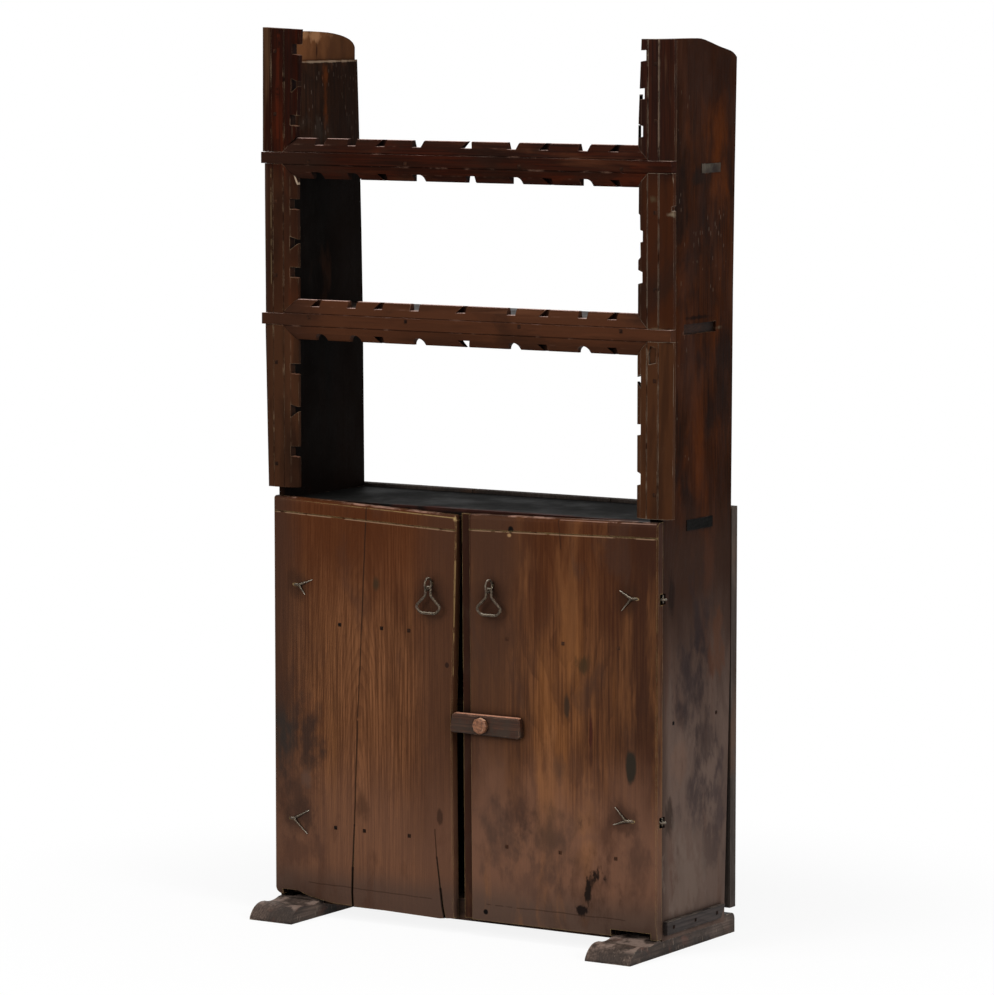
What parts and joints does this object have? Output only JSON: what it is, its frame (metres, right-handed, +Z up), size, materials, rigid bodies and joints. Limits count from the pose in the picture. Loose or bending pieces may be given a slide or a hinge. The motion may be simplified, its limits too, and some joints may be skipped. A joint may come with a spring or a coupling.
{
  "type": "court_cupboard",
  "caption": "Rustic boarded cupboard with two hinged doors below and an open rack above, its moulded rails and uprights notched to hang spoons.",
  "frame": {"origin": "on the floor, under the middle of the cupboard's overall box", "axes": "+Z up, -Y is the front with the doors, +X to the right as seen from the front"},
  "size_m": [0.848, 0.366, 1.6],
  "materials": {
    "oak_rack": "old reddish brown polish, worn pale on the arrises",
    "oak_side": "dark brown, patchy, rubbed grey in places",
    "pine_door": "warm brown wax over straight grain, darker at the edges",
    "oak_inside": "unpolished, darkened with age",
    "oak_foot": "scuffed grey brown, no polish",
    "button_wood": "handled smooth",
    "forged_iron": "black forged iron, bright where rubbed"
  },
  "bodies": {
    "carcass": {"back_nails": "forged_iron", "bottom_board": "oak_inside", "cleat_nails": "forged_iron", "counter_board": "oak_side", "front_stretcher": "oak_inside", "inner_shelf": "oak_inside", "left_back_board": "oak_inside", "left_foot": "oak_foot", "left_lower_side_hinge_pin": "forged_iron", "left_lower_stile": "oak_rack", "left_middle_stile": "oak_rack", "left_side_board": "oak_side", "left_side_cleat": "oak_foot", "left_upper_side_hinge_pin": "forged_iron", "left_upper_stile": "oak_rack", "lower_rail": "oak_rack", "lower_shelf": "oak_side", "middle_back_board": "oak_inside", "rack_nails": "forged_iron", "right_back_board": "oak_inside", "right_foot": "oak_foot", "right_lower_side_hinge_pin": "forged_iron", "right_lower_stile": "oak_rack", "right_middle_stile": "oak_rack", "right_side_board": "oak_side", "right_side_cleat": "oak_foot", "right_upper_side_hinge_pin": "forged_iron", "right_upper_stile": "oak_rack", "shelf_nails": "forged_iron", "upper_rail": "oak_rack", "upper_shelf": "oak_side"},
    "left_door_body": {"left_door": "pine_door", "left_door_lower_batten": "oak_inside", "left_door_upper_batten": "oak_inside", "left_door_nails": "forged_iron", "left_handle_staple": "forged_iron", "left_lower_door_hinge_pin": "forged_iron", "left_upper_door_hinge_pin": "forged_iron"},
    "right_door_body": {"right_door": "pine_door", "right_door_lower_batten": "oak_inside", "right_door_upper_batten": "oak_inside", "right_door_nails": "forged_iron", "right_handle_staple": "forged_iron", "right_lower_door_hinge_pin": "forged_iron", "right_upper_door_hinge_pin": "forged_iron", "button_peg": "button_wood"},
    "left_bail_body": {"left_handle_bail": "forged_iron"},
    "right_bail_body": {"right_handle_bail": "forged_iron"},
    "turn_button_body": {"turn_button": "button_wood"}
  },
  "joints": [
    {"name": "left_door_swing", "type": "hinge", "parent": "carcass", "child": "left_door_body", "pos_m": [-0.4, -0.079, 0.38925], "axis": [0, 0, -1], "range_deg": [0, 110]},
    {"name": "right_door_swing", "type": "hinge", "parent": "carcass", "child": "right_door_body", "pos_m": [0.4, -0.079, 0.4295], "axis": [0, 0, 1], "range_deg": [0, 110]},
    {"name": "turn_button_turn", "type": "hinge", "parent": "right_door_body", "child": "turn_button_body", "pos_m": [0.0496, -0.1033, 0.38], "axis": [0, -1, 0], "continuous": true},
    {"name": "left_bail_swing", "type": "hinge", "parent": "left_door_body", "child": "left_bail_body", "pos_m": [-0.0613, -0.1098, 0.6181], "axis": [-1, 0, 0], "range_deg": [0, 100]},
    {"name": "right_bail_swing", "type": "hinge", "parent": "right_door_body", "child": "right_bail_body", "pos_m": [0.0654, -0.1098, 0.6232], "axis": [-1, 0, 0], "range_deg": [0, 100]}
  ]
}
